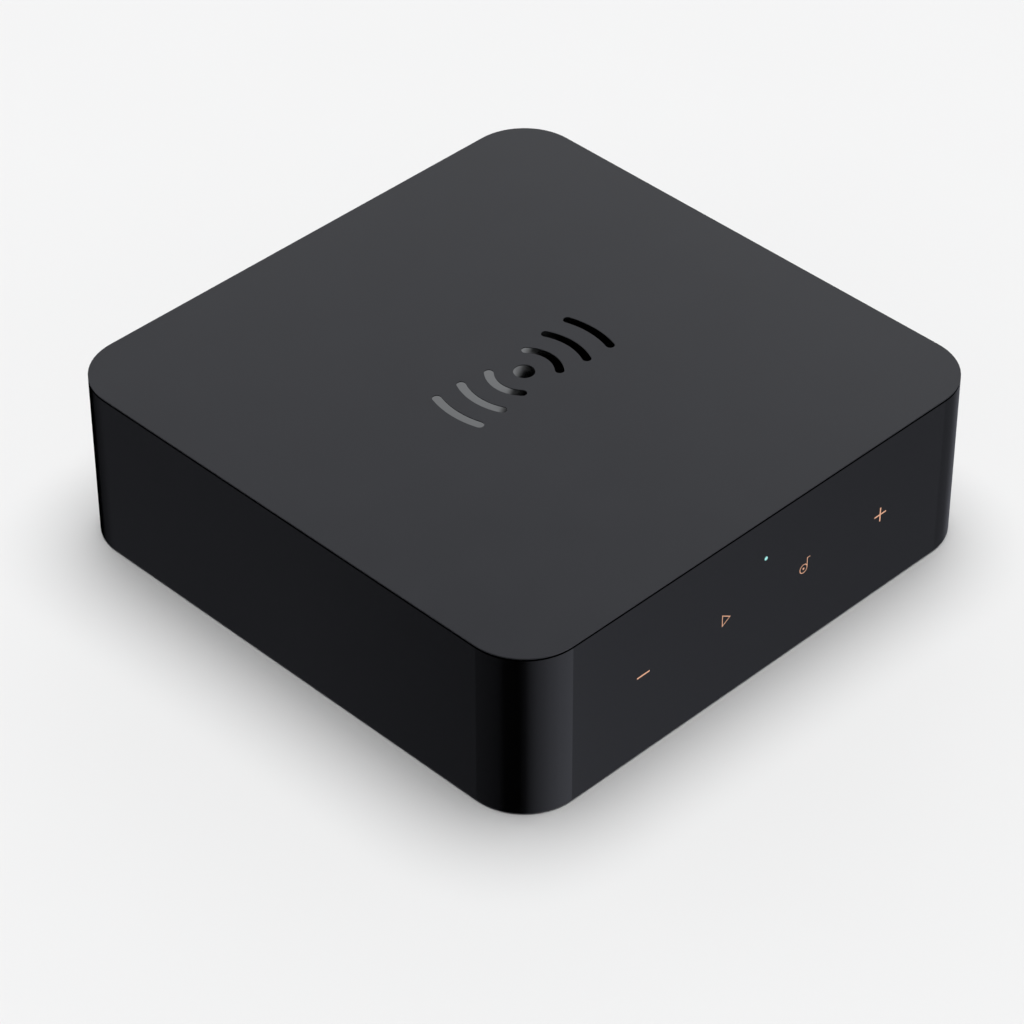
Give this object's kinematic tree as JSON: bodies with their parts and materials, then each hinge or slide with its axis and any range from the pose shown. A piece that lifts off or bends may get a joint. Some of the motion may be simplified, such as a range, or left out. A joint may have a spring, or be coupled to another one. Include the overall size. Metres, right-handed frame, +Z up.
{
  "type": "network music streamer",
  "caption": "Square network music streamer with a satin lid, glossy walls, front touch symbols and a recessed rear bay of sockets with sprung optical flaps.",
  "frame": {"origin": "on the resting surface, under the middle of the case", "axes": "+Z up, -Y to the front wall with the touch symbols, +X to the right of someone facing it"},
  "size_m": [0.14, 0.14, 0.042],
  "materials": {
    "lid_satin": "satin, very fine grain",
    "emblem_mirror": "mirror polished dark metal",
    "wall_gloss": "high gloss black",
    "base_plastic": "fine matt grain",
    "foot_rubber": "matt",
    "label_film": "satin film, blank",
    "screw_steel": "black zinc",
    "baffle_black": "matt",
    "circuit_board": "solder mask over glass epoxy",
    "copper": "bare copper",
    "lamp_white": "clear epoxy",
    "status_light": "clear, lit cyan",
    "ribbon_film": "satin film",
    "socket_cream": "nylon",
    "tray_plastic": "fine matt grain",
    "socket_black": "moulded",
    "gold_plate": "gold plated",
    "insert_red": "moulded",
    "insert_white": "moulded",
    "insert_orange": "moulded",
    "shutter_grey": "moulded",
    "pin_steel": "drawn wire",
    "sender_clear": "clear red epoxy",
    "nickel_sheet": "nickel plated",
    "lamp_amber": "clear",
    "module_laminate": "solder mask",
    "pad_silicone": "soft",
    "sink_black": "black anodised",
    "aerial_film": "film with copper pattern",
    "lead_grey": "thin coaxial lead",
    "can_aluminium": "drawn can",
    "ferrite": "ferrite",
    "chip_epoxy": "moulded epoxy",
    "passive_ceramic": "ceramic",
    "symbol_copper": "backlit warm copper"
  },
  "bodies": {
    "case": {"top_panel": "lid_satin", "top_emblem": "emblem_mirror", "wall_shell": "wall_gloss", "base_cover": "base_plastic", "foot_ring": "foot_rubber", "rating_label": "label_film", "base_screws": "screw_steel", "board_screws": "screw_steel", "light_baffle": "baffle_black", "touch_board": "circuit_board", "touch_electrodes": "copper", "touch_lights": "lamp_white", "status_light_pipe": "status_light", "ribbon_cable": "ribbon_film", "ribbon_sockets": "socket_cream", "sockets_tray": "tray_plastic", "phono_blocks": "socket_black", "phono_sleeves": "gold_plate", "phono_inserts_red": "insert_red", "phono_inserts_white": "insert_white", "phono_insert_orange": "insert_orange", "phono_contacts": "gold_plate", "phono_screws": "screw_steel", "optical_out_body": "socket_black", "optical_in_body": "socket_black", "optical_pins": "pin_steel", "optical_out_spring": "pin_steel", "optical_in_spring": "pin_steel", "optical_chips": "sender_clear", "lan_shield": "nickel_sheet", "lan_body": "socket_black", "lan_contacts": "gold_plate", "lan_lamps": "lamp_amber", "power_shell": "nickel_sheet", "power_insulator": "socket_black", "power_contacts": "gold_plate", "trigger_socket": "socket_black", "main_board": "circuit_board", "module_board": "module_laminate", "shield_can": "nickel_sheet", "thermal_pad": "pad_silicone", "heat_sink": "sink_black", "aerials": "aerial_film", "aerial_plugs": "gold_plate", "aerial_leads": "lead_grey", "capacitors": "can_aluminium", "inductors": "ferrite", "main_chips": "chip_epoxy", "amplifier_chips": "chip_epoxy", "regulators": "chip_epoxy", "crystals": "can_aluminium", "lan_transformer": "chip_epoxy", "passives": "passive_ceramic", "symbol_volume_down": "symbol_copper", "symbol_play": "symbol_copper", "symbol_preset": "symbol_copper", "symbol_volume_up": "symbol_copper"},
    "optical_out_flap": {"optical_out_shutter": "shutter_grey"},
    "optical_in_flap": {"optical_in_shutter": "shutter_grey"}
  },
  "joints": [
    {"name": "optical_out_shutter_hinge", "type": "hinge", "parent": "case", "child": "optical_out_flap", "pos_m": [0.0161, 0.0597, 0.0241], "axis": [-1, 0, 0], "range_deg": [0, 90], "stiffness_Nm_per_rad": 0.0004, "springref_deg": -28.65, "deforming": ["optical_out_spring"]},
    {"name": "optical_in_shutter_hinge", "type": "hinge", "parent": "case", "child": "optical_in_flap", "pos_m": [0.0059, 0.0597, 0.0241], "axis": [-1, 0, 0], "range_deg": [0, 90], "stiffness_Nm_per_rad": 0.0004, "springref_deg": -28.65, "deforming": ["optical_in_spring"]}
  ]
}
